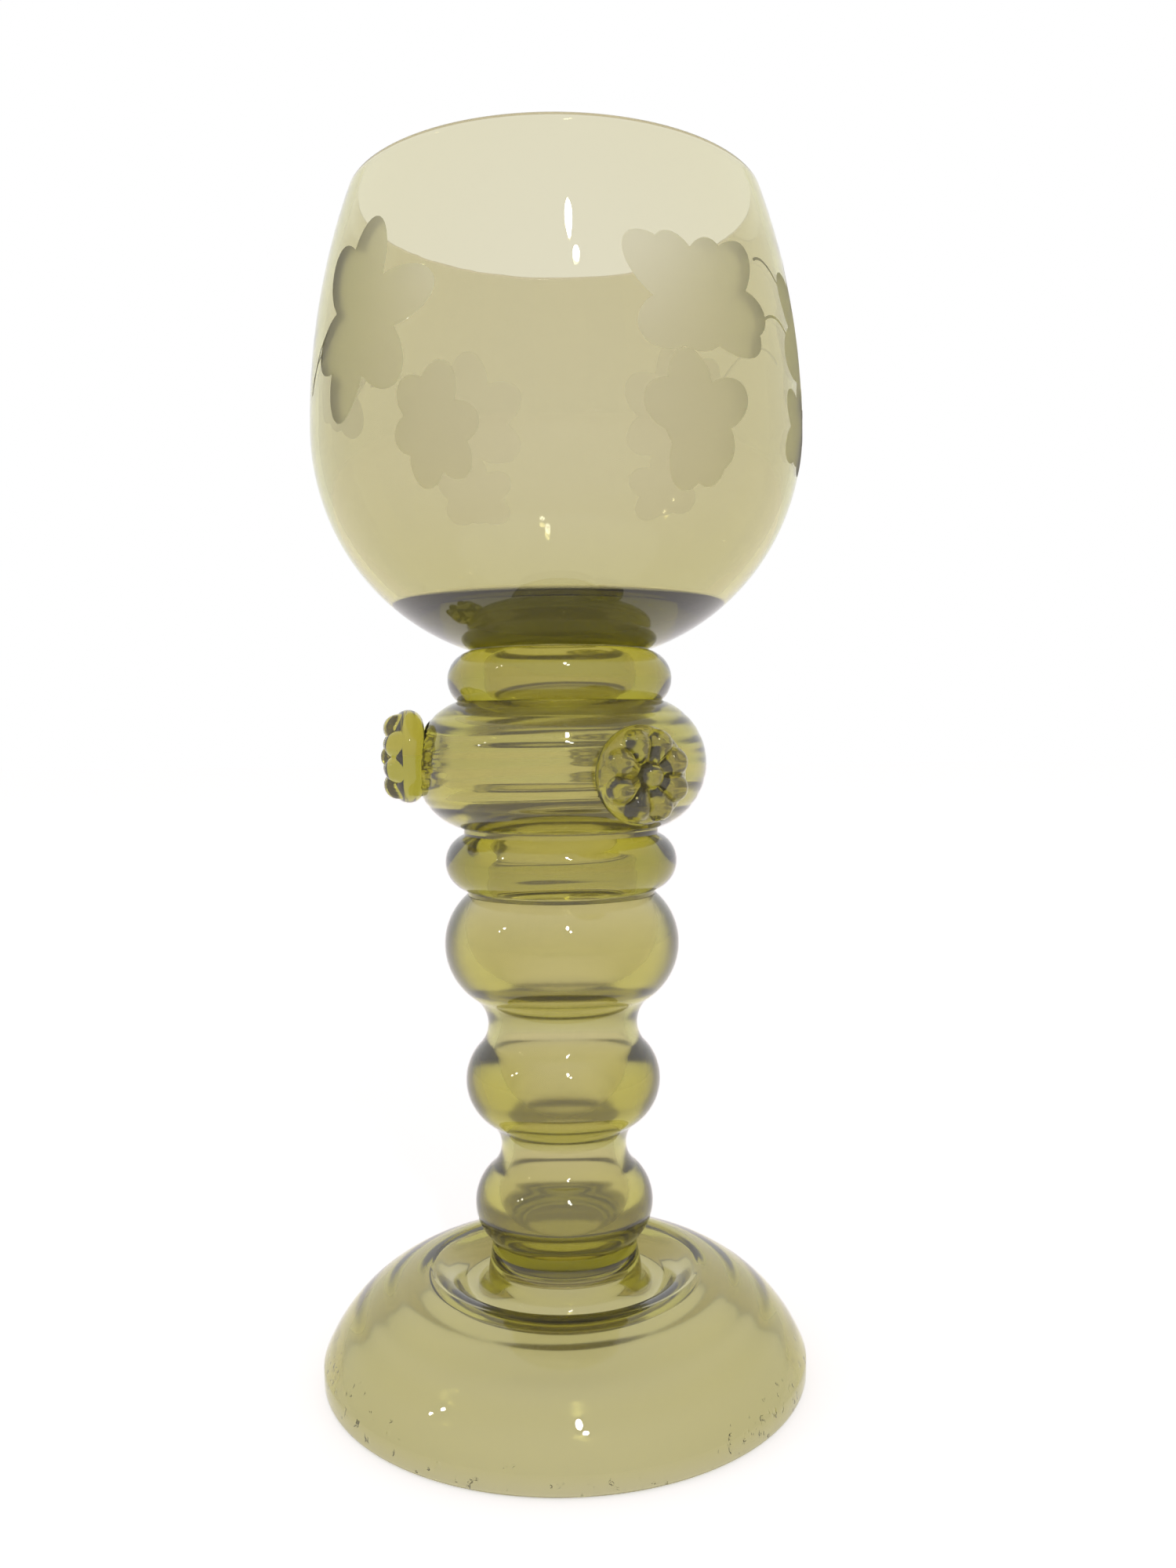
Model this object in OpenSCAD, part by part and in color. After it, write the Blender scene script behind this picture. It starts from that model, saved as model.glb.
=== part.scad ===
// Roemer: a wine glass of olive-green glass on a hollow, knopped stem.
// Each piece is one gather of glass. The pieces stack on flat rings where they were joined hot,
// and three moulded prunts are pressed on the widest knop. The table is at z = 0.

/* [Bowl] */
// Height of the bowl from its joint with the stem to the rim
bowl_h = 75; // [66:1:86]
// Outer radius of the bowl at the rim
rim_r = 34.7; // [32:0.1:37.5]
// Outer radius of the bowl at its widest place
belly_r = 41.5; // [38.5:0.1:45]
// Height of the widest place above the joint with the stem
belly_z = 36; // [32:0.5:42]
// Outer radius of the bowl at its joint with the stem
bowl_base_r = 15.3; // [14.5:0.1:17]
// Thickness of the bowl's wall at the rim
bowl_wall = 1.4; // [1:0.1:2.5]
// Thickness of the solid glass under the inside of the bowl
bowl_floor = 7.8; // [5:0.1:12]
// Radius of the round between the floor and the side inside the bowl
cup_round = 5; // [2:0.1:10]

/* [Stem joints] */
// Radius of the hole through the two collars and the top of the stem
bore_r = 13; // [11:0.1:14]
// Outer radius of the joint between upper collar and prunted knop
upper_joint_r = 17.3; // [16:0.1:19]
// Outer radius of the joint between prunted knop and lower collar
lower_joint_r = 16.8; // [15.5:0.1:18.5]
// Outer radius of the joint between lower collar and baluster
baluster_joint_r = 16.2; // [15:0.1:17.5]
// Outer radius of the joint between baluster and foot
foot_joint_r = 12.7; // [10:0.1:13.5]
// Least thickness of the glass between a hollow and the joint above or below it
joint_wall = 1.4; // [0.8:0.1:2]

/* [Upper collar] */
// Height of the upper collar
upper_collar_h = 8.8; // [8:0.1:10]
// Outer radius of the upper collar at its bead
upper_collar_r = 19.3; // [18.5:0.1:22]
// Height of the bead's middle above the bottom of the upper collar
upper_bead_z = 3.8; // [3.2:0.1:4.6]
// Radius of the bead's own round
upper_bead_bend = 5; // [4.5:0.1:6]

/* [Prunted knop] */
// Height of the prunted knop
knop_h = 22.2; // [20:0.1:26]
// Outer radius of the prunted knop at its widest place
knop_r = 25.2; // [23:0.1:29]
// Height of the widest place above the bottom of the prunted knop
knop_z = 11.5; // [10:0.1:13]
// Radius of the knop's own round
knop_bend = 11.5; // [10:0.1:13]
// Thickness of the knop's wall
knop_wall = 4; // [2:0.1:5]

/* [Lower collar] */
// Height of the lower collar
lower_collar_h = 11; // [9:0.1:13]
// Outer radius of the lower collar at its bead
lower_collar_r = 20; // [18.5:0.1:23]
// Height of the bead's middle above the bottom of the lower collar
lower_bead_z = 5.7; // [4.5:0.1:6.5]
// Radius of the bead's own round
lower_bead_bend = 5.1; // [4.2:0.1:6]

/* [Baluster] */
// Height of the baluster
baluster_h = 61.7; // [60:0.1:64]
// Outer radius of the top knop
top_knop_r = 20.3; // [18.5:0.1:22.5]
// Height of the top knop's middle above the foot joint
top_knop_z = 53.2; // [52:0.1:54.5]
// Radius of the top knop's own round
top_knop_bend = 11.2; // [10:0.1:12]
// Outer radius of the waist under the top knop
upper_waist_r = 13; // [12:0.1:14]
// Height of the waist under the top knop
upper_waist_z = 39.2; // [38:0.1:40]
// Outer radius of the middle knop
middle_knop_r = 16.9; // [15.5:0.1:19]
// Height of the middle knop's middle above the foot joint
middle_knop_z = 29.4; // [28.5:0.1:30.5]
// Radius of the middle knop's own round
middle_knop_bend = 8.6; // [7.5:0.1:9]
// Outer radius of the waist under the middle knop
lower_waist_r = 10.9; // [10:0.1:12]
// Height of the waist under the middle knop
lower_waist_z = 18; // [17.5:0.1:18.5]
// Outer radius of the bottom knop
bottom_knop_r = 15.5; // [14:0.1:17]
// Height of the bottom knop's middle above the foot joint
bottom_knop_z = 7.9; // [7.2:0.1:8.4]
// Radius of the bottom knop's own round
bottom_knop_bend = 7.9; // [7:0.1:8.4]

/* [Hollow of the baluster] */
// Thickness of the wall at the top knop
top_wall = 3.1; // [1.5:0.1:4]
// Radius of the hollow's round in the top knop
top_hollow_bend = 9.5; // [8:0.1:11]
// How far the soft glass sank in the top knop, so that its hollow sits higher
top_sag = 1.8; // [0:0.1:2.2]
// Thickness of the wall at the middle knop
middle_wall = 4.3; // [2:0.1:5]
// Radius of the hollow's round in the middle knop
middle_hollow_bend = 9; // [7.5:0.1:10]
// How far the soft glass sank in the middle knop
middle_sag = 2.6; // [0:0.1:3]
// Thickness of the wall at the bottom knop
bottom_wall = 3.7; // [2:0.1:5]
// Radius of the hollow's round in the bottom knop
bottom_hollow_bend = 5.4; // [4.5:0.1:7]
// How far the soft glass sank in the bottom knop
bottom_sag = 0.9; // [0:0.1:1.5]
// Thickness of the wall at the two waists
waist_wall = 2.5; // [1.5:0.1:4]

/* [Foot] */
// Height of the foot from the table to the joint with the baluster
foot_h = 21.3; // [18:0.1:25]
// Outer radius of the foot
foot_r = 41.8; // [38:0.1:48]
// Height of the upright edge of the foot
edge_h = 3.6; // [2:0.1:5]
// How far the dome leans in where it leaves the edge, in degrees from upright
edge_lean = 23; // [10:1:35]
// Radius of the dome's own round
dome_bend = 24.8; // [20:0.1:28]
// Angle at which the dome runs over into its crest, in degrees from level
crest_turn = 76; // [68:1:80]
// Radius of the crest's own round
crest_bend = 7; // [6:0.1:9]
// How far the valley round the neck lies inside the crest
valley_in = 7.5; // [6.5:0.1:8.2]
// Radius of the valley's own round
valley_bend = 2.2; // [1.6:0.1:3]
// Radius of the round at the bottom of the edge
edge_round = 1.2; // [0.5:0.1:1.8]
// Thickness of the foot's wall
foot_wall = 3.2; // [2:0.1:5]
// Thickness of the foot's glass between its joint and its hollow
foot_floor = 2.4; // [1.8:0.1:4]
// Radius of the round at the top of the foot's hollow
kick_round = 2; // [1:0.1:3]

/* [Prunts] */
// Radius of a prunt's disc
prunt_r = 7.9; // [6:0.1:9]
// Thickness of a prunt's disc
prunt_t = 5; // [4:0.1:6.5]
// How far a prunt's back is pressed in past the widest place of the knop
prunt_sink = 1.7; // [1.2:0.1:2.4]
// Number of petals round a prunt
petals = 8; // [6:1:10]
// Radius of a petal's round end
petal_r = 2.3; // [1.6:0.1:2.6]
// Radius of a petal's tip
petal_tip_r = 0.7; // [0.4:0.1:1]
// Radius of the ring on which the petals' round ends are centred
petal_ring_r = 5.2; // [4.2:0.1:5.6]
// How far the petals stand out of the disc
petal_rise = 1.7; // [0.8:0.1:2.1]
// Radius of the bead in the middle of a prunt
bead_r = 2.2; // [1.4:0.1:2.6]
// How far the bead stands out of the disc
bead_rise = 2.2; // [1:0.1:2.4]
// Direction of the left prunt round the stem, in degrees from +X
left_prunt_turn = 190; // [170:1:210]
// Height of the left prunt above the knop's widest place
left_prunt_rise = 1.5; // [-2:0.1:2]
// Direction of the front prunt round the stem, in degrees from +X
front_prunt_turn = 300; // [280:1:320]
// Height of the front prunt above the knop's widest place
front_prunt_rise = -1.4; // [-2:0.1:2]
// Direction of the rear prunt round the stem, in degrees from +X
rear_prunt_turn = 70; // [50:1:90]
// Height of the rear prunt above the knop's widest place
rear_prunt_rise = 0.5; // [-2:0.1:2]

/* [Hidden] */

bowl_glass = [0.79, 0.76, 0.58, 0.55];
stem_glass = [0.68, 0.65, 0.34, 0.75];
foot_glass = [0.73, 0.70, 0.48, 0.65];

// Most degrees that one straight step of an arc may turn
arc_step = 3;
// Facets round a revolved piece
$fn = 96;
// How far a petal's taper stays inside its round end
petal_tuck = 0.1;

// Heights of the joints, each from the one below
baluster_at = foot_h;
lower_collar_at = baluster_at + baluster_h;
knop_at = lower_collar_at + lower_collar_h;
upper_collar_at = knop_at + knop_h;
bowl_at = upper_collar_at + upper_collar_h;

// Arcs

// Unit direction at an angle
function toward(a) = [cos(a), sin(a)];

// Points along an arc about c from angle a0 to angle a1
function arc(c, r, a0, a1) =
    let (n = max(2, ceil(abs(a1 - a0) / arc_step)))
    [for (i = [0:n]) c + r * toward(a0 + (a1 - a0) * i / n)];

// Radius of the arc that leaves an upright tangent and moves dr sideways over a height dz
function sweep_bend(dz, dr) = (dz * dz + dr * dr) / (2 * dr);

// A knop is [outer radius, height, radius of its round]; this is the centre of that round
function knop_centre(k) = [k[0] - k[2], k[1]];

// Angle at which a round about c of radius r first meets a joint of radius joint_r or a plane dz away
function joint_angle(c, r, joint_r, dz) =
    min(acos(max(-1, min(1, (joint_r - c[0]) / r))), asin(max(0, min(1, dz / r))));

// A waist is [outer radius, height]; radius of its round where it runs smoothly into the knop k
function waist_bend(k, w) =
    let (d = [w[0], w[1]] - knop_centre(k))
    (d[0] * d[0] + d[1] * d[1] - k[2] * k[2]) / (2 * (k[2] - d[0]));

// Direction from the knop's centre to the centre of the waist's round
function waist_turn(k, w) =
    let (d = [w[0] + waist_bend(k, w), w[1]] - knop_centre(k))
    atan2(d[1], d[0]);

// Half of a waist, from its narrowest place to where it meets the knop k
function half_waist(k, w) =
    arc([w[0] + waist_bend(k, w), w[1]], waist_bend(k, w), 180, waist_turn(k, w) + 180);

// The same list the other way round
function turned(points) = [for (i = [len(points) - 1:-1:0]) points[i]];

// Profiles

// One knop between two joints, from bottom to top: its outside, with joint radii r0 and r1 and height h.
// It ends on the joints' own rings, whatever the knop's height
function bead_outside(k, r0, r1, h) =
    let (c = knop_centre(k),
         a0 = joint_angle(c, k[2], r0, k[1]),
         a1 = joint_angle(c, k[2], r1, h - k[1]),
         side = arc(c, k[2], -a0, a1))
    concat([[r0, 0]], side, [[r1, h]]);

upper_bead = [upper_collar_r, upper_bead_z, upper_bead_bend];
lower_bead = [lower_collar_r, lower_bead_z, lower_bead_bend];
main_knop = [knop_r, knop_z, knop_bend];
top_knop = [top_knop_r, top_knop_z, top_knop_bend];
middle_knop = [middle_knop_r, middle_knop_z, middle_knop_bend];
bottom_knop = [bottom_knop_r, bottom_knop_z, bottom_knop_bend];
upper_waist = [upper_waist_r, upper_waist_z];
lower_waist = [lower_waist_r, lower_waist_z];

// The hollow of the baluster has knops and waists of its own
top_hollow = [top_knop_r - top_wall, top_knop_z + top_sag, top_hollow_bend];
middle_hollow = [middle_knop_r - middle_wall, middle_knop_z + middle_sag, middle_hollow_bend];
bottom_hollow = [bottom_knop_r - bottom_wall, bottom_knop_z + bottom_sag, bottom_hollow_bend];
upper_throat = [upper_waist_r - waist_wall, upper_waist_z + (top_sag + middle_sag) / 2];
lower_throat = [lower_waist_r - waist_wall, lower_waist_z + (middle_sag + bottom_sag) / 2];

knop_outside = bead_outside(main_knop, lower_joint_r, upper_joint_r, knop_h);

// From a hollow's last point at height z through the bore to a joint at height h
function bore_end(z, h) = [[bore_r, z], [bore_r, h]];

// The hollow of the prunted knop, from bottom to top
function knop_inside() =
    let (c = knop_centre(main_knop),
         r = knop_bend - knop_wall,
         a0 = joint_angle(c, r, bore_r, knop_z - joint_wall),
         a1 = joint_angle(c, r, bore_r, knop_h - knop_z - joint_wall),
         side = arc(c, r, -a0, a1))
    concat(turned(bore_end(side[0][1], 0)), side, bore_end(side[len(side) - 1][1], knop_h));

// A run of three knops and two waists between two end angles, from bottom to top
function knop_run(bottom, low, middle, high, top, a0, a1) = concat(
    arc(knop_centre(bottom), bottom[2], a0, waist_turn(bottom, low)),
    turned(half_waist(bottom, low)),
    half_waist(middle, low),
    arc(knop_centre(middle), middle[2], waist_turn(middle, low), waist_turn(middle, high)),
    turned(half_waist(middle, high)),
    half_waist(top, high),
    arc(knop_centre(top), top[2], waist_turn(top, high), a1));

function baluster_outside() =
    let (a0 = joint_angle(knop_centre(bottom_knop), bottom_knop_bend, foot_joint_r, bottom_knop_z),
         a1 = joint_angle(knop_centre(top_knop), top_knop_bend, baluster_joint_r, baluster_h - top_knop_z),
         side = knop_run(bottom_knop, lower_waist, middle_knop, upper_waist, top_knop, -a0, a1))
    concat([[foot_joint_r, 0]], side, [[baluster_joint_r, baluster_h]]);

// The hollow of the baluster, closed at the bottom and open at the top
function baluster_inside() =
    let (room = baluster_h - top_hollow[1] - joint_wall,
         a1 = joint_angle(knop_centre(top_hollow), top_hollow_bend, bore_r, room),
         side = knop_run(bottom_hollow, lower_throat, middle_hollow, upper_throat, top_hollow, -90, a1))
    concat([[0, 0], [0, side[0][1]]], side, bore_end(side[len(side) - 1][1], baluster_h));

// The bowl is two arcs outside, upright at the belly, and inside an even wall down to a thick flat floor
function bowl_profile() =
    let (low_bend = sweep_bend(belly_z, belly_r - bowl_base_r),
         high_bend = sweep_bend(bowl_h - belly_z, belly_r - rim_r),
         high_c = [belly_r - high_bend, belly_z],
         lip_bend = high_bend - bowl_wall / 2,
         lip_turn = asin((bowl_h - bowl_wall / 2 - belly_z) / lip_bend),
         low_c = [belly_r - low_bend, belly_z],
         reach = low_bend - bowl_wall - cup_round,
         floor_turn = -asin((belly_z - bowl_floor - cup_round) / reach))
    concat([[0, 0]],
        arc(low_c, low_bend, -asin(belly_z / low_bend), 0),
        arc(high_c, high_bend, 0, lip_turn),
        arc(high_c + lip_bend * toward(lip_turn), bowl_wall / 2, lip_turn, lip_turn + 180),
        arc(high_c, high_bend - bowl_wall, lip_turn, 0),
        arc(low_c, low_bend - bowl_wall, 0, floor_turn),
        arc(low_c + reach * toward(floor_turn), cup_round, floor_turn, -90),
        [[0, bowl_floor]]);

// The foot, from its joint down: a neck, a valley round it, a crest and a dome to the edge. Inside, the hollow
// follows dome, crest and valley a wall's thickness away, up into the neck
function foot_profile() =
    let (dome_c = [foot_r, edge_h] - dome_bend * toward(edge_lean),
         crest_c = dome_c + (dome_bend - crest_bend) * toward(crest_turn),
         valley_up = sqrt(pow(crest_bend + valley_bend, 2) - valley_in * valley_in),
         valley_c = crest_c + [-valley_in, valley_up],
         dip = atan2(valley_up, -valley_in),
         neck = [foot_joint_r, foot_h] - valley_c,
         neck_turn = atan2(neck[1], neck[0]) + acos(min(1, valley_bend / norm(neck))),
         hollow_bend = dome_bend - foot_wall,
         hollow_turn = asin(-dome_c[1] / hollow_bend),
         ceiling = foot_h - foot_floor,
         reach = valley_bend + foot_wall + kick_round,
         kick_turn = asin((valley_c[1] - ceiling + kick_round) / reach),
         kick_c = valley_c - reach * toward(kick_turn))
    concat([[0, foot_h], [foot_joint_r, foot_h]],
        arc(valley_c, valley_bend, neck_turn, dip + 180),
        arc(crest_c, crest_bend, dip, crest_turn),
        arc(dome_c, dome_bend, crest_turn, edge_lean),
        arc([foot_r - edge_round, edge_round], edge_round, 0, -90),
        arc(dome_c, hollow_bend, hollow_turn, crest_turn),
        arc(crest_c, crest_bend - foot_wall, crest_turn, dip),
        arc(valley_c, valley_bend + foot_wall, dip + 180, kick_turn + 180),
        arc(kick_c, kick_round, kick_turn, 90),
        [[0, ceiling]]);

// Pieces

module spun(points) {
    rotate_extrude()
        polygon(points);
}

// A ring with a plain hole: the outside of a bead, bored through
module collar(outside, h) {
    spun(concat(outside, [[bore_r, h], [bore_r, 0]]));
}

module bowl() {
    color(bowl_glass)
        translate([0, 0, bowl_at])
            spun(bowl_profile());
}

module upper_collar() {
    color(stem_glass)
        translate([0, 0, upper_collar_at])
            collar(bead_outside(upper_bead, upper_joint_r, bowl_base_r, upper_collar_h), upper_collar_h);
}

module prunted_knop() {
    color(stem_glass)
        translate([0, 0, knop_at])
            spun(concat(knop_outside, turned(knop_inside())));
}

module lower_collar() {
    color(stem_glass)
        translate([0, 0, lower_collar_at])
            collar(bead_outside(lower_bead, baluster_joint_r, lower_joint_r, lower_collar_h), lower_collar_h);
}

module baluster() {
    color(stem_glass)
        translate([0, 0, baluster_at])
            spun(concat(baluster_outside(), turned(baluster_inside())));
}

module foot() {
    color(foot_glass)
        spun(foot_profile());
}

// One petal along +X: a round end that tapers to a tip near the middle
module petal() {
    tip = [bead_r, prunt_t - petal_tip_r / 2];
    end = [petal_ring_r, prunt_t + petal_rise - petal_r];
    run = end - tip;
    translate([end[0], 0, end[1]])
        sphere(petal_r);
    translate([tip[0], 0, tip[1]])
        rotate([0, atan2(run[0], run[1]), 0])
            cylinder(h = norm(run), r1 = petal_tip_r, r2 = petal_r - petal_tuck);
}

// A moulded rosette lying on its back: a round-edged disc, petals and a middle bead
module rosette() {
    rotate_extrude()
        intersection() {
            union() {
                square([prunt_r - prunt_t / 2, prunt_t]);
                translate([prunt_r - prunt_t / 2, prunt_t / 2])
                    circle(prunt_t / 2);
            }
            square([prunt_r, prunt_t]);
        }
    for (i = [0:petals - 1])
        rotate([0, 0, (i + 0.5) * 360 / petals])
            petal();
    translate([0, 0, prunt_t + bead_rise - bead_r])
        sphere(bead_r);
}

// A rosette pressed on the knop, its back shaped by the knop
module prunt(turn, rise) {
    color(stem_glass)
        difference() {
            translate([0, 0, knop_at + knop_z + rise])
                rotate([0, 0, turn])
                    translate([knop_r - prunt_sink, 0, 0])
                        rotate([0, 90, 0])
                            rosette();
            translate([0, 0, knop_at])
                spun(concat([[0, 0]], knop_outside, [[0, knop_h]]));
        }
}

module prunt_left() { prunt(left_prunt_turn, left_prunt_rise); }
module prunt_front() { prunt(front_prunt_turn, front_prunt_rise); }
module prunt_rear() { prunt(rear_prunt_turn, rear_prunt_rise); }

bowl();
upper_collar();
prunted_knop();
lower_collar();
baluster();
foot();
prunt_left();
prunt_front();
prunt_rear();
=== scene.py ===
# %% [markdown]
# A roemer is a wine glass with a rounded bowl on a hollow, knopped stem. This one is olive-green glass:
# gathers of hot glass were set one on another and fused. The lesson dresses its CAD frame. Each piece
# is spun again as a smooth body on the frame's own arcs, because glass shows its surface by bending
# light, and the flat facets of a CAD mesh would be seen.

# %% Frame
import math

import bpy
from mathutils import Matrix, Vector
from mathutils.geometry import delaunay_2d_cdt


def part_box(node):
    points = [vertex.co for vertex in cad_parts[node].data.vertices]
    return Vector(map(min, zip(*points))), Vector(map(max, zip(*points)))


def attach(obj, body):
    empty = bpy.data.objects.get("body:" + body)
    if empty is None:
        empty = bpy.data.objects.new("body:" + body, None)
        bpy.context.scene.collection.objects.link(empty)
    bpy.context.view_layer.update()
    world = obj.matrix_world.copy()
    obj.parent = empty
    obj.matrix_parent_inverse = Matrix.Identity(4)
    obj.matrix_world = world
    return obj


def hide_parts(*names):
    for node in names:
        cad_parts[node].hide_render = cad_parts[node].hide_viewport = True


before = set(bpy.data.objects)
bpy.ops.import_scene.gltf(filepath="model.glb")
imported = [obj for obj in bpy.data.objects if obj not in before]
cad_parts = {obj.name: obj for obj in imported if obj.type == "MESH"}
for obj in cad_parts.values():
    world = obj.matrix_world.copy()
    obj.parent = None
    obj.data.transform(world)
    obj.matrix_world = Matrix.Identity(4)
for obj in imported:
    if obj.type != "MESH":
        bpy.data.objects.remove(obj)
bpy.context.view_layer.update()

MM = 0.001
print("frame nodes:", sorted(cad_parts))

# %% [markdown]
# The joints are where one gather of glass was set on the next. Their heights and the widest radius of
# each piece could be typed in again, but then they could drift from the frame, so both are read from
# it. Only what a box can't tell, such as the radius of a joint, is written here, in millimetres.

# %% Joints
def high(node):
    """Height of a node's top."""
    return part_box(node)[1][2] / MM


def widest(node):
    """Largest radius of a node that is spun round the axis."""
    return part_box(node)[1][0] / MM


FOOT_JOINT, BALUSTER_JOINT, LOWER_JOINT = high("foot"), high("baluster"), high("lower_collar")
UPPER_JOINT, BOWL_JOINT, RIM_Z = high("prunted_knop"), high("upper_collar"), high("bowl")
FOOT_JOINT_R, BALUSTER_JOINT_R, LOWER_JOINT_R, UPPER_JOINT_R, BOWL_JOINT_R = 12.7, 16.2, 16.8, 17.3, 15.3
BORE_R = 13.0
JOINT_WALL = 1.4
SEAM_GAP = 0.01
print("joints at", [round(z, 2) for z in (FOOT_JOINT, BALUSTER_JOINT, LOWER_JOINT, UPPER_JOINT, BOWL_JOINT)])

# %% [markdown]
# A glassblower keeps the hot piece turning, so every profile is a soft chain of curves. Points could be
# drawn by hand, but arcs that run into each other stay smooth at any size and need few numbers. One
# function gives the points of an arc, finely enough that no corner shows in a reflection.

# %% Arcs
STEP_MM = 0.4
STEP_DEG = 2.5


def toward(turn):
    """Unit direction at an angle in degrees."""
    return math.cos(math.radians(turn)), math.sin(math.radians(turn))


def arc(centre, bend, start, end):
    """Points along an arc from one angle to another, in degrees."""
    sweep = abs(end - start)
    count = max(2, math.ceil(sweep / STEP_DEG), math.ceil(math.radians(sweep) * bend / STEP_MM))
    turns = [start + (end - start) * i / count for i in range(count + 1)]
    return [(centre[0] + bend * toward(t)[0], centre[1] + bend * toward(t)[1]) for t in turns]


def sweep_bend(rise, run):
    """Radius of the arc that leaves an upright tangent and moves run sideways over a height rise."""
    return (rise * rise + run * run) / (2 * run)


print("points on a 5 mm quarter round:", len(arc((0, 0), 5, 0, 90)))

# %% [markdown]
# The bowl was blown as a bubble, opened, and its rim melted round in the fire. A screw or a solidify
# modifier could give it a wall, but a blown wall isn't even: it is thin at the rim and thick low down,
# where the glass was slow to stretch. So the outline is given one part after another: outside, rim, inside,
# floor.

# %% Bowl outline
RIM_R, BELLY_Z, BOWL_WALL, BOWL_FLOOR, CUP_ROUND = 34.7, 36.0, 1.4, 7.8, 5.0
LOW_WALL = 1.2
BELLY_R = widest("bowl")
bowl_h = RIM_Z - BOWL_JOINT
low_bend = sweep_bend(BELLY_Z, BELLY_R - BOWL_JOINT_R)
high_bend = sweep_bend(bowl_h - BELLY_Z, BELLY_R - RIM_R)


def cup_side():
    """The inside below the belly, with a round into the flat floor and a wall that thickens downward."""
    centre, bend = BELLY_R - low_bend, low_bend - BOWL_WALL
    reach = bend - CUP_ROUND
    turn = -math.degrees(math.asin((BELLY_Z - BOWL_FLOOR - CUP_ROUND) / reach))
    round_centre = (centre + reach * toward(turn)[0], BOWL_FLOOR + CUP_ROUND)
    side = arc((centre, BELLY_Z), bend, 0, turn)[1:] + arc(round_centre, CUP_ROUND, turn, -90)[1:]
    return [(r - LOW_WALL * ((BELLY_Z - z) / BELLY_Z) ** 2, z) for r, z in side]


def bowl_outline():
    """Closed profile of the bowl over its joint."""
    start = -math.degrees(math.asin((BELLY_Z - SEAM_GAP) / low_bend))
    upper = (BELLY_R - high_bend, BELLY_Z)
    lip_bend = high_bend - BOWL_WALL / 2
    lip_turn = math.degrees(math.asin((bowl_h - BOWL_WALL / 2 - BELLY_Z) / lip_bend))
    lip = (upper[0] + lip_bend * toward(lip_turn)[0], upper[1] + lip_bend * toward(lip_turn)[1])
    return ([(0, SEAM_GAP), (BORE_R, SEAM_GAP)]
            + arc((BELLY_R - low_bend, BELLY_Z), low_bend, start, 0)
            + arc(upper, high_bend, 0, lip_turn)[1:]
            + arc(lip, BOWL_WALL / 2, lip_turn, lip_turn + 180)[1:]
            + arc(upper, high_bend - BOWL_WALL, lip_turn, 0)[1:]
            + cup_side() + [(0, BOWL_FLOOR)])


print("bowl outline:", len(bowl_outline()), "points, height", round(bowl_h, 2))

# %% [markdown]
# The two collars are thick threads of hot glass wound between the larger pieces. A torus would be the
# quick stand-in, but it would leave a gap at its neighbours. Here a bead's round starts and stops
# where it meets the two joints, so the next piece begins on the same ring of points.

# %% Collars
UPPER_BEAD = (widest("upper_collar"), 3.8, 5.0)
LOWER_BEAD = (widest("lower_collar"), 5.7, 5.1)
upper_h = BOWL_JOINT - UPPER_JOINT
lower_h = LOWER_JOINT - BALUSTER_JOINT


def knop_centre(knop):
    """Middle of the round of a knop, which is given as (outer radius, height, radius of the round)."""
    return knop[0] - knop[2], knop[1]


def joint_angle(centre, bend, joint_r, room):
    """Angle at which a round first meets a joint's radius or its plane."""
    by_radius = math.degrees(math.acos(max(-1, min(1, (joint_r - centre[0]) / bend))))
    by_plane = math.degrees(math.asin(max(0, min(1, room / bend))))
    return min(by_radius, by_plane)


def bead_outside(knop, joint_r, top_r, height):
    """Outer side of one bead between its two joints."""
    centre = knop_centre(knop)
    start = joint_angle(centre, knop[2], joint_r, knop[1])
    end = joint_angle(centre, knop[2], top_r, height - knop[1])
    return [(joint_r, SEAM_GAP)] + arc(centre, knop[2], -start, end) + [(top_r, height - SEAM_GAP)]


def collar_outline(knop, joint_r, top_r, height):
    """A bead with a straight hole down its middle."""
    count = math.ceil(height / STEP_MM)
    steps = [SEAM_GAP + (height - 2 * SEAM_GAP) * i / count for i in range(count, -1, -1)]
    return bead_outside(knop, joint_r, top_r, height) + [(BORE_R, z) for z in steps]


print("collars:", round(upper_h, 2), "and", round(lower_h, 2), "mm high")

# %% [markdown]
# The widest knop is a flattened hollow ball, which carries the prunts. It could be a squashed sphere,
# but the real one is a ring with a round side and a hollow that follows it. The same bead serves for
# its outside, and an arc on the same centre for its inside.

# %% Prunted knop
MAIN_KNOP = (widest("prunted_knop"), 11.5, 11.5)
KNOP_WALL = 4.0
knop_h = UPPER_JOINT - LOWER_JOINT


def knop_outline():
    """The knop's outside, and its hollow with a short neck at each joint."""
    centre, bend = knop_centre(MAIN_KNOP), MAIN_KNOP[2] - KNOP_WALL
    start = joint_angle(centre, bend, BORE_R, MAIN_KNOP[1] - JOINT_WALL)
    end = joint_angle(centre, bend, BORE_R, knop_h - MAIN_KNOP[1] - JOINT_WALL)
    side = arc(centre, bend, end, -start)
    return (bead_outside(MAIN_KNOP, LOWER_JOINT_R, UPPER_JOINT_R, knop_h)
            + [(BORE_R, knop_h - SEAM_GAP), (BORE_R, side[0][1])]
            + side + [(BORE_R, side[-1][1]), (BORE_R, SEAM_GAP)])


print("knop outline:", len(knop_outline()), "points")

# %% [markdown]
# The baluster was blown into a mould in one go: three knops of falling size with smooth waists. A lofted
# curve would need many points to look so even. Each waist is instead an arc that touches the knops above
# and below it, and its radius follows from that. The hollow has knops and waists of its own, flatter
# ones, so the wall is thick where the glass gathered.

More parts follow.
